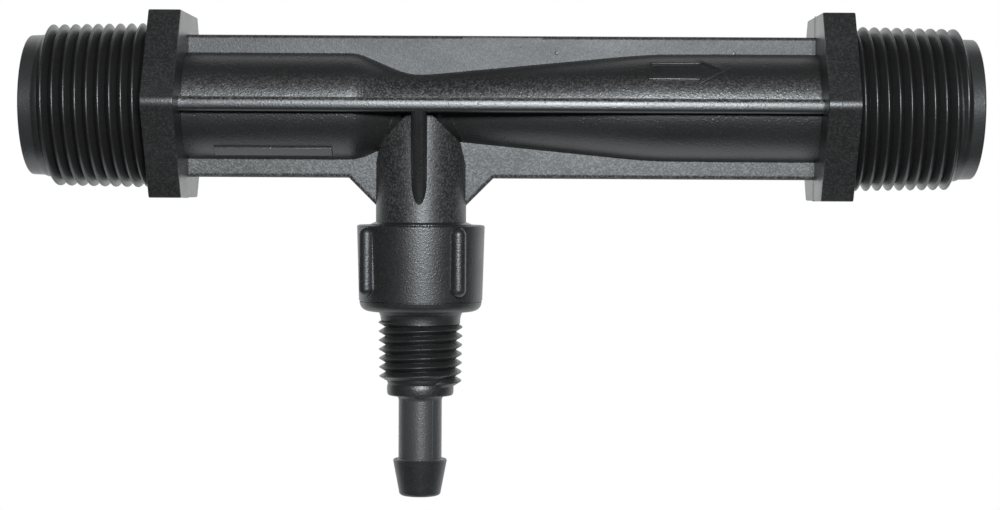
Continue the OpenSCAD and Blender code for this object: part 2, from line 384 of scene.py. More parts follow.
def thread(name, section, pitch, start, turns, taper, height, upright=False, steps=96):
    """Winds a ridge about a cone. Its height after a number of turns is a share of the full one."""
    points = [spot(r, 0, start + along) if upright else spot(start + along, 0, r) for along, r in section]
    obj = wind(name, points, "Z" if upright else "X", pitch, turns, steps)
    buried = 0.05
    low = min(r for along, r in section) + buried
    for i, vertex in enumerate(obj.data.vertices):
        turn = (i // len(section)) / steps
        along = vertex.co.z if upright else vertex.co.x
        across = Vector((vertex.co.x, vertex.co.y)) if upright else Vector((vertex.co.y, vertex.co.z))
        r = across.length / MM
        r = (r if r <= low else low + (r - low) * height(turn)) + taper * (along / MM - start)
        across = across.normalized() * r * MM
        if upright:
            vertex.co.x, vertex.co.y = across
        else:
            vertex.co.y, vertex.co.z = across
    close_ends(obj)
    return obj


def finish_shell(obj, angle, creases=None):
    """Clean doubles, then soft shading that keeps flats flat and corners crisp."""
    start_edit(obj)
    bpy.ops.mesh.remove_doubles(threshold=2e-7)
    bpy.ops.mesh.dissolve_degenerate(threshold=2e-7)
    end_edit()
    bpy.ops.object.shade_smooth_by_angle(angle=math.radians(angle))
    if creases:
        pick_edges(obj, creases)
        bpy.ops.mesh.mark_sharp()
        end_edit()
    use_modifier(obj, "WEIGHTED_NORMAL", keep_sharp=True, weight=80)


# Injector body

def tube_radius(x):
    narrowing = THROAT_R + (NARROWING_X - x) * NARROWING
    widening = THROAT_R + (x - WIDENING_X) * WIDENING
    open_r, corner = (TUBE_IN_R, INLET_CORNER) if x < PORT_X else (TUBE_OUT_R, OUTLET_CORNER)
    cone = smooth_max(smooth_max(narrowing, THROAT_R, NARROWING_BLEND),
                      smooth_max(widening, THROAT_R, WIDENING_BLEND), THROAT_BLEND)
    return smooth_min(cone, open_r, corner)


def end_outline():
    """Plain tip and thread core of the inlet end, as (x, radius)."""
    edge = 0.25
    collar_x = THREAD_L + COLLAR_W / 2
    groove_r = PIPE_ROOT_R - ROOT_GROOVE
    tip = arc(INLET_END + edge, TIP_R - edge, edge, 180, 90)
    step = [(-1.05, TIP_R + 0.06), (-0.75, TIP_R + 0.14), (-0.35, PIPE_ROOT_R - 0.1), (1.2, PIPE_ROOT_R)]
    core = [(1.5, groove_r), (collar_x, groove_r + PIPE_TAPER * collar_x), (collar_x, TUBE_IN_R)]
    return [(INLET_END, 0)] + tip + step + core


def body_core():
    inlet = end_outline()
    at_throat = [47 + 0.5 * i for i in range(33)]
    at_cone_end = [95 + 0.5 * i for i in range(9)]
    stations = [TUBE_START, 30, 38] + at_throat + [66, 70, 75, 80, 85, 90, 93] + at_cone_end
    tube = [(x, tube_radius(x)) for x in stations + [108, 116, TUBE_END]]
    outlet = [(2 * MIDDLE_X - x, r) for x, r in inlet[::-1]]
    return lathe("body_core", inlet + tube + outlet)


def inlet_thread():
    section = thread_section(PIPE_PITCH, PIPE_ROOT_R, PIPE_CREST_R, RIDGE_SUNK, PIPE_CROWN)
    return thread("inlet_ridge", section, PIPE_PITCH, INLET_CREST_X - PIPE_PITCH, PIPE_TURNS, PIPE_TAPER,
                  lambda turn: ease((turn - FADE_GAP) / FADE_TURNS))


def outlet_thread():
    length = (PIPE_TURNS - 1) * PIPE_PITCH
    grown = PIPE_TAPER * (PIPE_TURNS - 1) * PIPE_PITCH
    section = thread_section(PIPE_PITCH, PIPE_ROOT_R + grown, PIPE_CREST_R + grown, RIDGE_SUNK, PIPE_CROWN)
    return thread("outlet_ridge", section, PIPE_PITCH, OUTLET_CREST_X - length, PIPE_TURNS, -PIPE_TAPER,
                  lambda turn: ease((PIPE_TURNS - FADE_GAP - turn) / FADE_TURNS))


def wrench_collar(x0, line_proud):
    """Hexagon with blunted front and rear corners, softened edges and the mould's parting line."""
    reach = (HEX_TOP - LINE_PROUD) * 2 / math.sqrt(3)
    corner = 0.9 * reach
    centre = spot(x0 + COLLAR_W / 2, 0, 0)
    collar = cylinder("wrench_collar", 6, reach, COLLAR_W, centre, rotation=(0, math.pi / 2, 0))
    round_edges(collar, COLLAR_BLUNT, 4, lambda mid, way: abs(mid.y) > corner and abs(way.x) > 0.9)
    round_edges(collar, COLLAR_EDGE, 2, lambda mid, way: abs(mid.y) < corner or abs(way.x) < 0.5)
    line = block("collar_line", (x0 - line_proud, -LINE_HALF, -HEX_TOP),
                 (x0 + COLLAR_W + line_proud, LINE_HALF, HEX_TOP))
    unite(collar, line)
    return collar


def upright_ribs():
    """The flat ribs above and below the tube, with the parting line along their edges."""
    start, end = TUBE_START - RIB_LET_IN, TUBE_END + RIB_LET_IN
    plate = block("upright_ribs", (start, -RIB_HALF, -RIB_REACH), (end, RIB_HALF, RIB_REACH))
    round_edges(plate, RIB_EDGE, 4, lambda mid, way: abs(way.x) > 0.9)
    line_reach = RIB_REACH + RIB_LINE_PROUD
    unite(plate, block("rib_line", (start, -LINE_HALF, -line_reach), (end, LINE_HALF, line_reach)))
    return plate


def side_rib(side):
    """A rib in front of or behind the tube, with a gently crowned nose."""
    turn, root_y = 9.5, 5.0
    lift, rise = math.cos(math.radians(turn)), math.sin(math.radians(turn))
    edge_r = (SIDE_RIB_HALF - SIDE_RIB_CROWN_R * rise) / (1 - rise)
    edge_y = SIDE_RIB_REACH - SIDE_RIB_CROWN_R + (SIDE_RIB_CROWN_R - edge_r) * lift
    nose = arc(SIDE_RIB_REACH - SIDE_RIB_CROWN_R, 0, SIDE_RIB_CROWN_R, -turn, turn, 4)
    flank = arc(edge_y, SIDE_RIB_HALF - edge_r, edge_r, turn, 90, 6)[1:] + [(root_y, SIDE_RIB_HALF)]
    section = [(y, -z) for y, z in flank[::-1]] + nose + flank
    corners = [spot(TUBE_START - RIB_LET_IN, side * y, z) for y, z in section]
    return prism("side_rib", corners, spot(TUBE_END - TUBE_START + 2 * RIB_LET_IN, 0, 0))


def suction_boss():
    """The round boss, cut to a gable with sloped shoulders between the ribs."""
    foot = BOSS_THREAD_TOP - BOSS_LET_IN
    boss = cylinder("suction_boss", ROUND, BOSS_R, -foot, spot(PORT_X, 0, foot / 2))
    for side in (-1, 1):
        start_edit(boss)
        bpy.ops.mesh.bisect(plane_co=spot(PORT_X + side * BOSS_R, 0, SHOULDER_FOOT),
                            plane_no=(side, 0, SHOULDER_LEAN), use_fill=True, clear_outer=True)
        bpy.ops.mesh.select_all(action="SELECT")
        bpy.ops.mesh.bisect(plane_co=spot(PORT_X + side * GABLE_HALF, 0, -RIB_HALF), plane_no=(side, 0, 1),
                            use_fill=True, clear_outer=True)
        bpy.ops.mesh.bevel(offset=GABLE_EDGE * MM, segments=2, affect="EDGES")
        end_edit()
    return boss


def boss_screw():
    """The boss's lower end, whose thread the cap is screwed on."""
    edge = 0.3
    return lathe("boss_screw", [
        (BOSS_END, 0), (BOSS_END, BOSS_THREAD_R - edge), (BOSS_END + edge, BOSS_THREAD_R),
        (BOSS_THREAD_TOP, BOSS_THREAD_R), (BOSS_THREAD_TOP + BOSS_STEP, BOSS_R),
        (BOSS_THREAD_TOP + BOSS_STEP, 0)], upright=True)


def boss_webs():
    """The sloped webs that carry the lower rib's edge down to the boss."""
    into_rib = 0.6
    low = -RIB_REACH - WEB_REACH
    reach = BOSS_R + WEB_REACH
    corners = [(-reach - into_rib, into_rib - RIB_REACH), (-reach, -RIB_REACH), (-BOSS_R, low),
               (BOSS_R, low), (reach, -RIB_REACH), (reach + into_rib, into_rib - RIB_REACH)]
    webs = prism("boss_webs", [spot(PORT_X + x, -RIB_HALF, z) for x, z in corners], spot(0, 2 * RIB_HALF, 0))
    round_edges(webs, RIB_EDGE, 4, lambda mid, way: abs(way.y) < 0.1 and abs(way.z) > 0.3)
    return webs


def gusset(side):
    """A round-nosed bar that leans from a side rib to the boss."""
    root_y, spare, top = 2.4, 1, -0.3
    out = SIDE_RIB_REACH - BOSS_R
    lean = math.atan(out / -GUSSET_FOOT)
    slope = math.hypot(out, GUSSET_FOOT)
    nose = arc(BOSS_R - GUSSET_HALF, 0, GUSSET_HALF, -90, 90, 16)
    section = [(root_y, -GUSSET_HALF)] + nose + [(root_y, GUSSET_HALF)]
    corners = [spot(PORT_X + x, side * y, GUSSET_FOOT - spare) for y, x in section]
    bar = prism("gusset", corners, spot(0, 0, slope + 2 * spare))
    start_edit(bar)
    bpy.ops.transform.rotate(value=side * lean, orient_axis="X",
                             center_override=spot(PORT_X, side * BOSS_R, GUSSET_FOOT))
    bpy.ops.mesh.bisect(plane_co=spot(PORT_X, 0, top), plane_no=(0, 0, 1), use_fill=True, clear_outer=True)
    close_shell()
    return bar


def bare_plate():
    """The shallow raised strip low on the tube's front, left without marks."""
    start, end, half, proud, sunk, edge, turn = 27.2, 46.2, 1.05, 0.3, 1.2, 0.12, -57
    strip = block("bare_plate", (start, -TUBE_IN_R - proud, -half), (end, -TUBE_IN_R + sunk, half))
    round_edges(strip, edge, 2, lambda mid, way: mid.y < -TUBE_IN_R)
    start_edit(strip)
    bpy.ops.transform.rotate(value=math.radians(turn), orient_axis="X", center_override=(0, 0, 0))
    end_edit()
    return strip


def ring_on_tube(name, outline, width, proud):
    """A raised line along a closed outline of (x, degrees above the front), laid on the outlet tube."""
    sunk, edge_share, sharp = 0.4, 0.44, 60
    corners = [spot(x, 0, math.radians(turn) * TUBE_OUT_R) for x, turn in outline]
    obj = outline_ring(name, corners, width, spot(0, -1, 0))
    start_edit(obj, "EDGE")
    bpy.ops.mesh.select_all(action="DESELECT")
    bpy.ops.mesh.edges_select_sharp(sharpness=math.radians(sharp))
    bpy.ops.mesh.bevel(offset=width * edge_share * MM, segments=4, affect="EDGES", clamp_overlap=True)
    bpy.ops.mesh.select_all(action="SELECT")
    bpy.ops.mesh.subdivide(number_cuts=3)
    close_shell()
    for vertex in obj.data.vertices:
        turn = vertex.co.z / MM / TUBE_OUT_R
        r = TUBE_OUT_R - sunk + (sunk + proud) * (-vertex.co.y / MM)
        vertex.co.y, vertex.co.z = -r * math.cos(turn) * MM, r * math.sin(turn) * MM
    return obj


def flow_arrow():
    """The outline of an arrow that points downstream, empty inside."""
    tail, neck, point = 96.7, 104.7, 109.7
    head_low, shaft_low, middle, shaft_high, head_high = 22.5, 28.5, 41.5, 53.5, 59.5
    outline = [(tail, shaft_low), (neck, shaft_low), (neck, head_low), (point, middle), (neck, head_high),
               (neck, shaft_high), (tail, shaft_high)]
    return ring_on_tube("flow_arrow", outline, width=0.44, proud=0.26)


def insert_line():
    """The fine line round a mould insert on the upper rib, with rounded lower corners."""
    left, right, low, high, r = 67.0, 79.9, 7.35, RIB_REACH - 0.32, 1.6
    sunk, thick, width = 0.2, 0.24, 0.09
    outline = [(left, high)] + arc(left + r, low + r, r, 180, 270) + arc(right - r, low + r, r, 270, 360)
    corners = [spot(x, -RIB_HALF + sunk, z) for x, z in outline + [(right, high)]]
    return outline_ring("insert_line", corners, width, spot(0, -thick, 0))


def ejector_dot(x, z, r, proud):
    """A small raised disc on the front of the upper rib."""
    depth, edge_share = 0.6, 0.6
    centre = spot(x, -RIB_HALF + depth / 2 - proud, z)
    dot = cylinder("ejector_dot", 24, r, depth, centre, rotation=(math.pi / 2, 0, 0))
    round_edges(dot, proud * edge_share, 2, lambda mid, way: mid.y < -RIB_HALF)
    return dot


def flow_bore():
    flare = 0.35
    inlet = [(INLET_END - CUT_PAST, MOUTH_R + flare + CUT_PAST), (INLET_END + flare, MOUTH_R),
             (THREAD_L - COLLAR_W / 2, MOUTH_R), (TUBE_START, INLET_BORE_R)]
    outlet = [(TUBE_END, OUTLET_BORE_R)] + [(2 * MIDDLE_X - x, r) for x, r in inlet[-2::-1]]
    middle = [(CONE_START, INLET_BORE_R), (THROAT_START, THROAT_BORE_R), (THROAT_END, THROAT_BORE_R),
              (CONE_END, OUTLET_BORE_R)]
    start, end = [(INLET_END - CUT_PAST, 0)], [(OUTLET_END + CUT_PAST, 0)]
    return lathe("flow_bore", start + inlet + middle + outlet + end)


def suction_bore():
    return lathe("suction_bore", [
        (BOSS_END - CUT_PAST, 0), (BOSS_END - CUT_PAST, CHAMBER_R), (CHAMBER_TOP, CHAMBER_R),
        (CHAMBER_TOP, PASSAGE_R), (0, PASSAGE_R), (0, 0)], upright=True)


def gusset_seam(mid, way):
    """Edges where a gusset meets the round of the boss, without the boss's own upright ones."""
    on_boss = abs(math.hypot(mid.x - PORT_X, mid.y) - BOSS_R) < 0.03
    at_gusset = abs(mid.x - PORT_X) < GUSSET_HALF + 0.05 and GUSSET_FOOT - 0.6 < mid.z < -3
    return on_boss and at_gusset and abs(way.z) < 0.9995


def make_body():
    body = body_core()
    body.name = "moulded_body"
    unite(body, inlet_thread(), outlet_thread())
    unite(body, wrench_collar(THREAD_L, -LINE_SHORT), wrench_collar(TUBE_END, LINE_PROUD))
    unite(body, upright_ribs(), side_rib(-1), side_rib(1))
    unite(body, boss_webs(), suction_boss(), boss_screw(), gusset(-1), gusset(1))
    unite(body, bare_plate(), flow_arrow(), insert_line())
    unite(body, *[ejector_dot(*dot) for dot in EJECTOR_DOTS])
    cut(body, flow_bore(), suction_bore())
    finish_shell(body, BODY_SMOOTH, creases=gusset_seam)
    return body


# Suction cap

def cap_core():
    """The cap's outside, the nipple's core, the stem and the barb, from the top down."""
    rim, edge, tip, fillet_r, end_r, barb_edge = 0.32, 1.5, 0.15, 0.9, 0.6, 0.15
    side = arc(CAP_TOP - rim, CAP_R - rim, rim, 0, 90)
    groove = [(FOOT_LINE - down, CAP_FOOT_R - deep)
              for down, deep in ((0, 0), (0.03, 0.24), (0.19, 0.24), (0.22, 0.08))]
    foot = arc(CAP_FOOT + edge, CAP_FOOT_R - 0.1 - edge, edge, 90, 180, 7)
    turns = [math.radians(a) for a in (0, 18, 36, 54, 72, 90)]
    flare = [(CAP_FOOT - FLARE_H * (1 - math.cos(a)), NECK_R + FLARE_W * (1 - math.sin(a))) for a in turns]
    root_end = NIPPLE_ROOT_R + NIPPLE_TAPER * (NIPPLE_END - NIPPLE_START)
    nipple = [(NIPPLE_START - 0.25, NECK_R), (NIPPLE_START - 0.75, NIPPLE_ROOT_R - NIPPLE_GROOVE),
              (NIPPLE_END + 0.1, root_end - NIPPLE_GROOVE)]
    band = [(NIPPLE_END - 0.35, NIPPLE_TIP_R - 0.14), (NIPPLE_END - 0.65, NIPPLE_TIP_R - 0.04),
            (NIPPLE_END - 1.0, NIPPLE_TIP_R), (NIPPLE_TIP_END + 3 * tip, NIPPLE_TIP_R - 0.02),
            (NIPPLE_TIP_END + tip, NIPPLE_TIP_R - 0.1), (NIPPLE_TIP_END, NIPPLE_TIP_R - 0.1 - tip)]
    fillet = arc(NIPPLE_TIP_END - fillet_r, STEM_R + fillet_r, fillet_r, 0, -90)
    barb = [(BARB_TOP + barb_edge, STEM_R), (BARB_TOP, STEM_R + barb_edge), (BARB_TOP, BARB_R - 0.12),
            (BARB_TOP - barb_edge, BARB_R)]
    end = arc(BARB_END + end_r, BARB_END_R - end_r, end_r, 90, 180)
    return lathe("cap_core", [(CAP_TOP, 0)] + side + groove + foot + flare + nipple + band + fillet + barb
                 + end + [(BARB_END, 0)], upright=True)


def nipple_thread():
    start_gap, start_turns, end_gap, end_turns = 0.8, 0.16, 0.15, 0.25
    crest = NIPPLE_START + NIPPLE_LAST_CREST - NIPPLE_TURNS * NIPPLE_PITCH
    shrink = NIPPLE_TAPER * (crest - NIPPLE_START)
    section = thread_section(NIPPLE_PITCH, NIPPLE_ROOT_R + shrink, NIPPLE_CREST_R + shrink, NIPPLE_SUNK,
                             NIPPLE_CROWN)

    def height(turn):
        return ease((turn - start_gap) / start_turns) * ease((NIPPLE_TURNS - end_gap - turn) / end_turns)

    ridge = thread("nipple_ridge", section, NIPPLE_PITCH, crest, NIPPLE_TURNS, NIPPLE_TAPER, height,
                   upright=True)
    ridge.location.x = PORT_X * MM
    settle(ridge)
    return ridge


def lug_bar(name, turn, half, reach, top, foot):
    """A round bar with domed ends, let into the side of the cap."""
    low_dome = arc(foot + half, 0, half, 180, 90, 8)[1:]
    high_dome = arc(top - half, 0, half, 90, 0, 8)[:-1]
    bar = lathe(name, [(foot, 0)] + low_dome + high_dome + [(top, 0)], upright=True)
    start_edit(bar)
    angle = math.radians(turn)
    way = Vector((math.cos(angle), math.sin(angle), 0))
    bpy.ops.transform.translate(value=way * (reach - half) * MM)
    end_edit()
    return bar


def cap_hollow():
    return lathe("cap_hollow", [
        (CAP_TOP + CUT_PAST, 0), (CAP_TOP + CUT_PAST, SOCKET_R + 1.3), (CAP_TOP - 0.3, SOCKET_R),
        (SOCKET_FLOOR, SOCKET_R), (SOCKET_FLOOR, SEAT_R), (SOCKET_FLOOR - SEAT_R + BARB_BORE_R, BARB_BORE_R),
        (BARB_END + 0.25, BARB_BORE_R), (BARB_END - CUT_PAST, BARB_BORE_R + 1.25), (BARB_END - CUT_PAST, 0)],
        upright=True)


def make_cap():
    cap = cap_core()
    cap.name = "suction_cap_moulding"
    unite(cap, nipple_thread())
    wider, shorter, top, foot = LUG_HALF + 0.42, LUG_REACH - 0.95, LUG_TOP + 0.1, LUG_FOOT - 0.3
    for turn in LUG_TURNS:
        unite(cap, lug_bar("lug_foot", turn, wider, shorter, top, foot))
        unite(cap, lug_bar("grip_lug", turn, LUG_HALF, LUG_REACH, LUG_TOP, LUG_FOOT))
    line_top, line_foot = NIPPLE_TIP_END - 0.3, BARB_TOP - 0.1
    for turn in LUG_TURNS[1::2]:
        unite(cap, lug_bar("stem_line", turn, LINE_HALF, STEM_R + LINE_PROUD, line_top, line_foot))
    cut(cap, cap_hollow())
    finish_shell(cap, CAP_SMOOTH)
    return cap


# Check valve spring

def make_spring():
    """A coil whose first and last turns are closed."""
    wire_r, sides, turns, steps, closed = 0.15, 10, 7, 40, 0.35
    mean_r = (SPRING_HI.x - SPRING_LO.x) / 2 - wire_r
    low, high = SPRING_LO.z + wire_r, SPRING_HI.z - wire_r
    open_pitch = (high - low - 2 * closed) / (turns - 2)
    angles = [math.tau * i / sides for i in range(sides)]
    points = [spot(mean_r + wire_r * math.cos(a), 0, low + wire_r * math.sin(a)) for a in angles]
    spring = wind("valve_spring", points, "Z", open_pitch, turns, steps)
    for i, vertex in enumerate(spring.data.vertices):
        turn = (i // sides) / steps
        closed_turns = min(turn, 1) + max(turn - turns + 1, 0)
        lift = closed * closed_turns + open_pitch * min(max(turn - 1, 0), turns - 2)
        vertex.co.z += (lift - open_pitch * turn) * MM
    close_ends(spring)
    spring.location.x = PORT_X * MM
    settle(spring)
    bpy.ops.object.shade_smooth_by_angle(angle=math.radians(SPRING_SMOOTH))
    return spring


# Materials

# Pale grain flecks, partly painted glints of light.
GLINT_FLECK_TONE = (0.1, 0.105, 0.105, 1)
# A paler tone for the stem and pipe tips: a painted sheen standing in for their highlight and reflected
# light.
PAINTED_SHEEN_TONE = (0.05, 0.051, 0.052, 1)
DUST_TONE = (0.22, 0.22, 0.21, 1)
COOL_SHEEN = (0.9, 0.96, 1.0, 1)
NO_STEM = -1000


def add_node(tree, kind, **settings):
    node = tree.nodes.new(kind)
    for key, value in settings.items():
        setattr(node, key, value)
    return node


def wire(tree, *pairs):
    for out, into in pairs:
        tree.links.new(out, into)


def preset(node, **values):
    """Sets inputs by name, with underscores for spaces."""
    for label, value in values.items():
        node.inputs[label.replace("_", " ")].default_value = value
    return node


def new_group(name, inputs, outputs):
    tree = bpy.data.node_groups.new(name, "ShaderNodeTree")
    tree.interface.new_socket("Place", in_out="INPUT", socket_type="NodeSocketVector")
    for label, value in inputs.items():
        tree.interface.new_socket(label, in_out="INPUT", socket_type="NodeSocketFloat").default_value = value
    for label in outputs:
        tree.interface.new_socket(label, in_out="OUTPUT", socket_type="NodeSocketFloat")
    return tree, add_node(tree, "NodeGroupInput"), add_node(tree, "NodeGroupOutput")


def map_range(tree, source, low, high, to_low, to_high):
    node = preset(add_node(tree, "ShaderNodeMapRange"), From_Min=low, From_Max=high, To_Min=to_low,
                  To_Max=to_high)
    tree.links.new(source, node.inputs["Value"])
    return node.outputs["Result"]


def math_node(tree, operation, first, second=None, third=None):
    """A math node between outputs and numbers."""
    node = add_node(tree, "ShaderNodeMath", operation=operation)
    for socket, value in zip(node.inputs, (first, second, third)):
        if isinstance(value, (int, float)):
            socket.default_value = value
        elif value is not None:
            tree.links.new(value, socket)
    return node.outputs["Value"]


def moulded_grain_group():
    """Spark-eroded mould texture: fine grain, with sparse higher grains that catch the light."""
    tree, given, out = new_group("moulded_grain", {"Grains per metre": 3600, "Bumps per metre": 1700},
                                 ("Height",))
    bump_share = 0.45
    fine = preset(add_node(tree, "ShaderNodeTexNoise"), Detail=2.5, Roughness=0.62)
    bumps = add_node(tree, "ShaderNodeTexVoronoi")
    peaks = preset(add_node(tree, "ShaderNodeMapRange", interpolation_type="SMOOTHSTEP"),
                   From_Min=0.34, From_Max=0.02)
    total = math_node(tree, "MULTIPLY_ADD", peaks.outputs["Result"], bump_share, fine.outputs["Fac"])
    wire(tree, (given.outputs["Place"], fine.inputs["Vector"]),
         (given.outputs["Place"], bumps.inputs["Vector"]),
         (given.outputs["Grains per metre"], fine.inputs["Scale"]),
         (given.outputs["Bumps per metre"], bumps.inputs["Scale"]),
         (bumps.outputs["Distance"], peaks.inputs["Value"]), (total, out.inputs["Height"]))
    return tree


def grain_glint_flecks_group():
    """Grains of the mould texture that show paler than the rest, cell by cell, partly as painted glints of
    light.
    """
    tree, given, out = new_group("grain_glint_flecks", {"Flecks per metre": 4300}, ("Mask",))
    cells = add_node(tree, "ShaderNodeTexVoronoi")
    split = add_node(tree, "ShaderNodeSeparateColor")
    wire(tree, (given.outputs["Place"], cells.inputs["Vector"]),
         (given.outputs["Flecks per metre"], cells.inputs["Scale"]),
         (cells.outputs["Color"], split.inputs["Color"]),
         (map_range(tree, split.outputs["Red"], 0.4, 1, 0, 1), out.inputs["Mask"]))
    return tree


def light_specks_group():
    """Sparse pale specks of dust and lint, in patches."""
    tree, given, out = new_group("light_specks", {"Specks per metre": 900, "Size": 0.07}, ("Mask",))
    cells = add_node(tree, "ShaderNodeTexVoronoi")
    size = preset(add_node(tree, "ShaderNodeMapRange"), From_Min=0, To_Min=1, To_Max=0)
    patch = preset(add_node(tree, "ShaderNodeTexNoise"), Scale=130)
    keep = map_range(tree, patch.outputs["Fac"], 0.45, 0.7, 0, 1)
    wire(tree, (given.outputs["Place"], cells.inputs["Vector"]),
         (given.outputs["Place"], patch.inputs["Vector"]),
         (given.outputs["Specks per metre"], cells.inputs["Scale"]),
         (given.outputs["Size"], size.inputs["From Max"]), (cells.outputs["Distance"], size.inputs["Value"]),
         (math_node(tree, "MULTIPLY", size.outputs["Result"], keep), out.inputs["Mask"]))
    return tree


def face_kinds_group():
    """Masks for the kinds of face on the mouldings.

    Polished: the pipe ends and what stands out in front or behind.
    Plates: the flat upright ribs and the boss.
    Glinting grain: where the pale grain flecks show fully. They are painted glints, strongest on the tube
    just above the side ribs where the light falls, and they also show on the upright ribs, the boss and,
    less so, the collars.
    Plain: a paler tone on the stem and, less so, the pipe tips. It is a painted sheen that stands in for
    their highlight and reflected light.
    """
    tree, given, out = new_group("face_kinds", {
        "Middle": MIDDLE_X * MM, "Half length": (TUBE_END - TUBE_START) / 2 * MM, "Reach": 0.01,
        "Plate half": 0.001, "Port": PORT_X * MM, "Boss": 0.5, "Stem": -1.0},
        ("Polished", "Plates", "Glinting grain", "Plain"))
    boss_matt, rib_share, collar_share, tip_sheen_share = 1.2, 0.45, 0.16, 0.4
    band_top, band_full, boss_skin, tip_step = 5.2, 1.6, 0.06, 0.8

    def calc(operation, *values):
        return math_node(tree, operation, *values)

    split = add_node(tree, "ShaderNodeSeparateXYZ")
    tree.links.new(given.outputs["Place"], split.inputs["Vector"])
    x, y, z = (split.outputs[axis] for axis in "XYZ")
    lengthwise = calc("ABSOLUTE", calc("SUBTRACT", x, given.outputs["Middle"]))
    outward = calc("ABSOLUTE", y)
    beside_port = calc("SUBTRACT", x, given.outputs["Port"])
    from_port = calc("SQRT", calc("ADD", calc("MULTIPLY", beside_port, beside_port), calc("MULTIPLY", y, y)))
    at_ends = calc("GREATER_THAN", lengthwise, given.outputs["Half length"])
    between = calc("LESS_THAN", lengthwise, given.outputs["Half length"])
    far_out = calc("GREATER_THAN", outward, given.outputs["Reach"])
    plates = calc("MULTIPLY", between, calc("LESS_THAN", outward, given.outputs["Plate half"]))
    # The band just above the side ribs, where the light falls; its flecks are painted glints.
    above = calc("MULTIPLY", calc("GREATER_THAN", z, 0.0),
                 map_range(tree, z, band_top * MM, band_full * MM, 0, 1))
    boss = calc("MULTIPLY", given.outputs["Boss"], calc("COMPARE", from_port, BOSS_R * MM, boss_skin * MM))
    matt = calc("MAXIMUM", plates, calc("MULTIPLY", boss, boss_matt))
    below = calc("MULTIPLY", calc("LESS_THAN", z, -MM), calc("MAXIMUM", plates, boss))
    upper_rib = calc("MULTIPLY", plates, rib_share)
    middle = calc("MULTIPLY", between, calc("MAXIMUM", upper_rib, calc("MAXIMUM", above, below)))
    collars = calc("COMPARE", lengthwise, (MIDDLE_X - TUBE_START + COLLAR_W / 2) * MM, COLLAR_W / 2 * MM)
    # The stem and the ends of the pipe tips take a paler tone, a painted sheen for their highlight and
    # reflected light.
    stem = calc("COMPARE", z, given.outputs["Stem"], (NIPPLE_TIP_END - BARB_TOP) / 2 * MM)
    tips = calc("MULTIPLY", calc("GREATER_THAN", lengthwise, (MIDDLE_X + tip_step) * MM), tip_sheen_share)
    wire(tree, (calc("MAXIMUM", at_ends, far_out), out.inputs["Polished"]), (matt, out.inputs["Plates"]),
         (calc("MAXIMUM", middle, calc("MULTIPLY", collars, collar_share)), out.inputs["Glinting grain"]),
         (calc("MAXIMUM", stem, tips), out.inputs["Plain"]))
    return tree


def flow_marks_group():
    """Slow changes of gloss, drawn out the way the melt ran."""
    tree, given, out = new_group("flow_marks", {"Marks per metre": 160}, ("Mask",))
    stretch = preset(add_node(tree, "ShaderNodeMapping"), Scale=(0.35, 1, 1))
    slow = preset(add_node(tree, "ShaderNodeTexNoise"), Detail=4, Roughness=0.55)
    wire(tree, (given.outputs["Place"], stretch.inputs["Vector"]),
         (stretch.outputs["Vector"], slow.inputs["Vector"]),
         (given.outputs["Marks per metre"], slow.inputs["Scale"]), (slow.outputs["Fac"], out.inputs["Mask"]))
    return tree


GRAIN = moulded_grain_group()
SPECKS = light_specks_group()
MARKS = flow_marks_group()
FACES = face_kinds_group()
GRAIN_GLINT_FLECKS = grain_glint_flecks_group()


def new_material(name):
    material = bpy.data.materials.new(name)
    material.use_nodes = True
    tree = material.node_tree
    shader = tree.nodes["Principled BSDF"]
    place = add_node(tree, "ShaderNodeTexCoord").outputs["Object"]
    return material, tree, shader, place


def add_group(tree, group, place, **values):
    node = preset(add_node(tree, "ShaderNodeGroup", node_tree=group), **values)
    tree.links.new(place, node.inputs["Place"])
    return node


def blend_colours(tree, mask, first, second):
    node = add_node(tree, "ShaderNodeMix", data_type="RGBA")
    for socket, value in ((node.inputs["A"], first), (node.inputs["B"], second)):
        if isinstance(value, tuple):
            socket.default_value = value
        else:
            tree.links.new(value, socket)
    tree.links.new(mask, node.inputs["Factor"])
    return node.outputs["Result"]


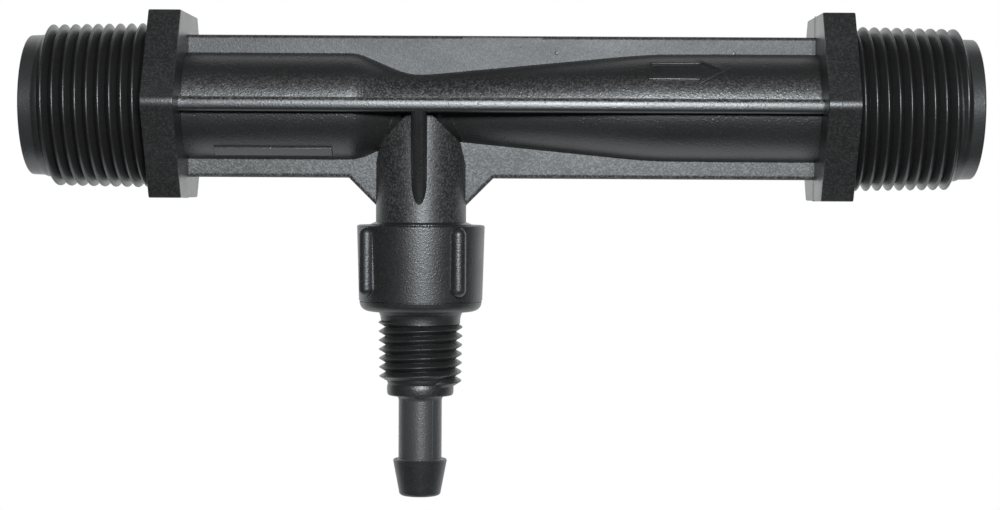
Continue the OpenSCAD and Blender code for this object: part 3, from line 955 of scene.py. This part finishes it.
def black_plastic(name, dark, pale, rough, depth, grains, bumps, flecked, reach, plate_half, boss, stem,
                  level_gloss):
    """Black moulded plastic: grain, pale flecks in it that are partly painted glints, a painted sheen on the
    stem and pipe tips, gloss that varies with the flow, and dust specks.
    """
    material, tree, shader, place = new_material(name)
    grain = add_group(tree, GRAIN, place, Grains_per_metre=grains, Bumps_per_metre=bumps)
    marks = add_group(tree, MARKS, place).outputs["Mask"]
    specks = add_group(tree, SPECKS, place).outputs["Mask"]
    flecks = add_group(tree, GRAIN_GLINT_FLECKS, place).outputs["Mask"]
    faces = add_group(tree, FACES, place, Reach=reach * MM, Plate_half=plate_half * MM, Boss=boss,
                      Stem=stem * MM).outputs

    # Painted sheen: a paler tone on the stem and pipe tips stands in for their highlight and reflected
    # light.
    painted_sheen_share = map_range(tree, faces["Plain"], 0, 1, 0, 0.8)
    tone = blend_colours(tree, painted_sheen_share, blend_colours(tree, marks, dark, pale), PAINTED_SHEEN_TONE)
    # Pale grain flecks, partly painted glints: full in the glinting grain, weaker elsewhere.
    glint_fleck_share = math_node(tree, "MULTIPLY", flecks, map_range(tree, faces["Glinting grain"], 0, 1, flecked, 1))
    flecked_with_glints = blend_colours(tree, glint_fleck_share, tone, GLINT_FLECK_TONE)
    colour = blend_colours(tree, map_range(tree, specks, 0, 1, 0, 0.8), flecked_with_glints, DUST_TONE)

    cloudy = map_range(tree, marks, 0.3, 0.7, rough[0], rough[1])
    matt = math_node(tree, "ADD", cloudy, map_range(tree, faces["Plates"], 0, 1, 0, 0.17))
    facing = add_node(tree, "ShaderNodeSeparateXYZ")
    level_faces_dull = map_range(tree, facing.outputs["Z"], 0.93, 0.99, 0.8, level_gloss)
    strength = math_node(tree, "MULTIPLY", map_range(tree, faces["Polished"], 0, 1, 1, 0.55),
                         map_range(tree, faces["Plates"], 0, 1, 1, 0.6))
    bump = preset(add_node(tree, "ShaderNodeBump"), Distance=depth * MM)
    preset(shader, Specular_Tint=COOL_SHEEN)
    wire(tree, (add_node(tree, "ShaderNodeNewGeometry").outputs["Normal"], facing.inputs["Vector"]),
         (level_faces_dull, shader.inputs["Specular IOR Level"]), (strength, bump.inputs["Strength"]),
         (colour, shader.inputs["Base Color"]), (matt, shader.inputs["Roughness"]),
         (grain.outputs["Height"], bump.inputs["Height"]), (bump.outputs["Normal"], shader.inputs["Normal"]))
    return material


def seal_rubber():
    material, tree, shader, place = new_material("seal_rubber")
    marks = add_group(tree, MARKS, place, Marks_per_metre=420).outputs["Mask"]
    grain = add_group(tree, GRAIN, place, Grains_per_metre=5200, Bumps_per_metre=2600)
    bump = preset(add_node(tree, "ShaderNodeBump"), Distance=0.012 * MM)
    tone = blend_colours(tree, marks, (0.012, 0.012, 0.012, 1), (0.026, 0.026, 0.025, 1))
    wire(tree, (tone, shader.inputs["Base Color"]),
         (map_range(tree, marks, 0.3, 0.7, 0.55, 0.72), shader.inputs["Roughness"]),
         (grain.outputs["Height"], bump.inputs["Height"]), (bump.outputs["Normal"], shader.inputs["Normal"]))
    return material


def steel(name, dark, pale, gloss, scale):
    material, tree, shader, place = new_material(name)
    marks = add_group(tree, MARKS, place, Marks_per_metre=scale).outputs["Mask"]
    preset(shader, Metallic=1.0)
    wire(tree, (blend_colours(tree, marks, dark, pale), shader.inputs["Base Color"]),
         (map_range(tree, marks, 0.3, 0.7, gloss[0], gloss[1]), shader.inputs["Roughness"]))
    return material


def dress(obj, material):
    obj.data.materials.clear()
    obj.data.materials.append(material)


# Floor, light and camera

def studio_white(name):
    """Pale floor that the camera and reflections see as white, with the object's shadow left on it."""
    material, tree, shader, place = new_material(name)
    glow_share = 0.8
    patch = preset(add_node(tree, "ShaderNodeTexNoise"), Scale=3)
    tone = blend_colours(tree, patch.outputs["Fac"], (0.86, 0.86, 0.86, 1), (0.9, 0.9, 0.9, 1))
    preset(shader, Roughness=0.9)
    glow = preset(add_node(tree, "ShaderNodeEmission"), Strength=1.2)
    path = add_node(tree, "ShaderNodeLightPath").outputs
    seen = math_node(tree, "MAXIMUM", path["Is Camera Ray"], path["Is Glossy Ray"])
    seen_through = math_node(tree, "MAXIMUM", seen, path["Is Transmission Ray"])
    mix = add_node(tree, "ShaderNodeMixShader")
    wire(tree, (place, patch.inputs["Vector"]), (tone, shader.inputs["Base Color"]),
         (math_node(tree, "MULTIPLY", seen_through, glow_share), mix.inputs["Fac"]),
         (shader.outputs["BSDF"], mix.inputs[1]), (glow.outputs["Emission"], mix.inputs[2]),
         (mix.outputs["Shader"], tree.nodes["Material Output"].inputs["Surface"]))
    return material


def make_floor():
    """A round floor well below and behind the part."""
    back, drop, radius = 160, 60, 0.19
    bpy.ops.object.select_all(action="DESELECT")
    bpy.ops.mesh.primitive_circle_add(vertices=96, radius=radius, fill_type="NGON",
                                      location=spot(PORT_X, back, BARB_END - drop))
    floor = bpy.context.object
    floor.name = "studio_floor"
    settle(floor)
    dress(floor, studio_white("studio_white"))


def make_world():
    """White to the camera. Reflections see white behind the object and a dim room in front of it."""
    world = bpy.data.worlds.new("studio")
    bpy.context.scene.world = world
    world.use_nodes = True
    tree = world.node_tree
    room = tree.nodes["Background"]
    white = preset(add_node(tree, "ShaderNodeBackground"), Color=(1, 1, 1, 1))
    way = add_node(tree, "ShaderNodeTexCoord")
    split = add_node(tree, "ShaderNodeSeparateXYZ")
    behind = preset(add_node(tree, "ShaderNodeMapRange", interpolation_type="SMOOTHSTEP"),
                    From_Min=0.2, From_Max=0.7, To_Min=0.0, To_Max=1.0)
    tone = blend_colours(tree, behind.outputs["Result"], (0.035, 0.035, 0.037, 1), (1.3, 1.3, 1.3, 1))
    path = add_node(tree, "ShaderNodeLightPath")
    mix = add_node(tree, "ShaderNodeMixShader")
    wire(tree, (way.outputs["Generated"], split.inputs["Vector"]),
         (split.outputs["Y"], behind.inputs["Value"]), (tone, room.inputs["Color"]),
         (path.outputs["Is Camera Ray"], mix.inputs["Fac"]), (room.outputs["Background"], mix.inputs[1]),
         (white.outputs["Background"], mix.inputs[2]),
         (mix.outputs["Shader"], tree.nodes["World Output"].inputs["Surface"]))


def make_lights():
    """A small soft box just above the lens, which gives the photograph's flash highlights."""
    at, aim = spot(95, -340, 55), spot(73, 0, -8)
    bpy.ops.object.light_add(type="AREA", location=at)
    lamp = bpy.context.object
    lamp.name = "front_soft_box"
    lamp.data.shape = "RECTANGLE"
    lamp.data.size, lamp.data.size_y = 0.12, 0.04
    lamp.data.energy = 1.54
    lamp.rotation_euler = (aim - at).to_track_quat("-Z", "Y").to_euler()


def make_camera():
    bpy.ops.object.camera_add(location=spot(75.8, -340, -12.3))
    camera = bpy.context.object
    camera.data.sensor_width = 36
    camera.data.lens = 75.1
    camera.data.clip_start = 0.01
    ahead = Vector((-0.00762, 1, -0.0345))
    roll = Quaternion((0, 0, 1), math.radians(0.32))
    camera.rotation_mode = "QUATERNION"
    camera.rotation_quaternion = ahead.to_track_quat("-Z", "Y") @ roll
    bpy.context.scene.camera = camera


make_camera()
make_floor()
make_world()
make_lights()

body = make_body()
dress(body, black_plastic(
    "body_plastic", dark=(0.010, 0.010, 0.010, 1), pale=(0.017, 0.017, 0.0175, 1), rough=(0.34, 0.4),
    depth=0.05, grains=3200, bumps=1700, flecked=0.06, reach=10.2, plate_half=RIB_HALF + 0.08, boss=0.45,
    stem=NO_STEM, level_gloss=0.6))
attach(body, "housing")
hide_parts("injector_body")

cap = make_cap()
dress(cap, black_plastic(
    "cap_plastic", dark=(0.010, 0.010, 0.010, 1), pale=(0.018, 0.018, 0.0185, 1), rough=(0.38, 0.44),
    depth=0.04, grains=3600, bumps=2000, flecked=0.1, reach=20, plate_half=0, boss=0,
    stem=(NIPPLE_TIP_END + BARB_TOP) / 2, level_gloss=0.15))
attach(cap, "housing")
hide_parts("suction_cap")

spring = make_spring()
dress(spring, steel("spring_steel", dark=(0.5, 0.5, 0.51, 1), pale=(0.7, 0.7, 0.72, 1), gloss=(0.2, 0.34),
                    scale=900))
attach(spring, "housing")
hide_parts("check_spring")
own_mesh(spring)

dress(frame["nodes"]["check_ball"], steel(
    "ball_steel", dark=(0.6, 0.61, 0.63, 1), pale=(0.78, 0.79, 0.81, 1), gloss=(0.08, 0.16), scale=700))
dress(frame["nodes"]["cap_seal"], seal_rubber())

bpy.context.scene.view_settings.view_transform = "Standard"
